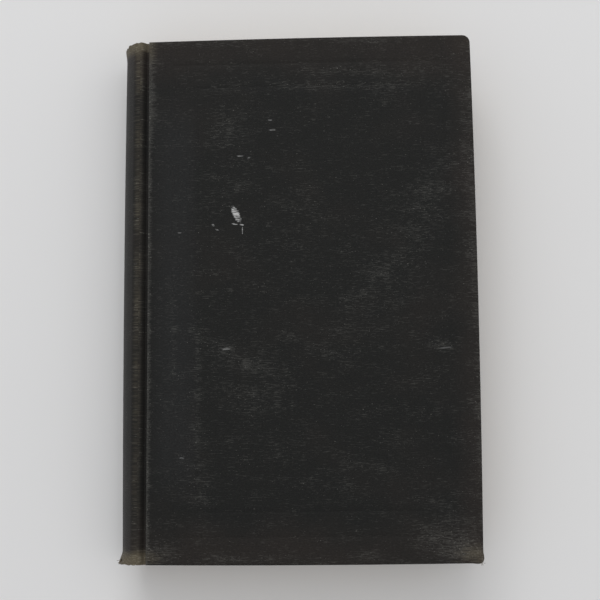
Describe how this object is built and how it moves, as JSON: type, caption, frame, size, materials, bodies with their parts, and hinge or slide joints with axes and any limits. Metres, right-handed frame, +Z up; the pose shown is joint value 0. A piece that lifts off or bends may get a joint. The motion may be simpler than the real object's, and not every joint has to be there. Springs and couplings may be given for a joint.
{
  "type": "hardback book",
  "caption": "Old hardback book in plain worn dark cloth with a rounded hollow spine, lying on its back cover; both covers open on their cloth joints.",
  "frame": {"origin": "middle of the face that the closed book lies on, midway between spine and fore edge and between head and tail", "axes": "+X from the spine to the fore edge, +Y towards the head of the book, +Z up through the closed book from back cover to front cover"},
  "size_m": [0.1618, 0.24, 0.035],
  "materials": {
    "book_cloth": "worn black book cloth, plain weave, slight sheen on rubbed edges",
    "strawboard": "dull grey-brown board",
    "leaves": "yellowed book paper, slightly rough cut edges",
    "endpaper": "toned cream endpaper, matte",
    "mull": "open-weave stiffened cotton",
    "kraft_lining": "brown kraft paper",
    "spine_card": "thin grey-brown card",
    "band_cotton": "rolled cotton with worn stripes"
  },
  "bodies": {
    "book_block": {"text_block": "leaves", "spine_mull": "mull", "spine_lining": "kraft_lining", "spine_inlay": "spine_card", "spine_cloth": "book_cloth", "head_band": "band_cotton", "tail_band": "band_cotton", "front_flyleaf": "endpaper", "back_flyleaf": "endpaper"},
    "front_cover": {"front_board": "strawboard", "front_cover_cloth": "book_cloth", "front_mull_flange": "mull", "front_pastedown": "endpaper"},
    "back_cover": {"back_board": "strawboard", "back_cover_cloth": "book_cloth", "back_mull_flange": "mull", "back_pastedown": "endpaper"}
  },
  "joints": [
    {"name": "front_cover_hinge", "type": "hinge", "parent": "book_block", "child": "front_cover", "pos_m": [-0.07255, 0, 0.03327], "axis": [0, -1, 0], "range_deg": [0, 180]},
    {"name": "back_cover_hinge", "type": "hinge", "parent": "book_block", "child": "back_cover", "pos_m": [-0.07255, 0, 0.00172], "axis": [0, 1, 0], "range_deg": [0, 180]}
  ]
}
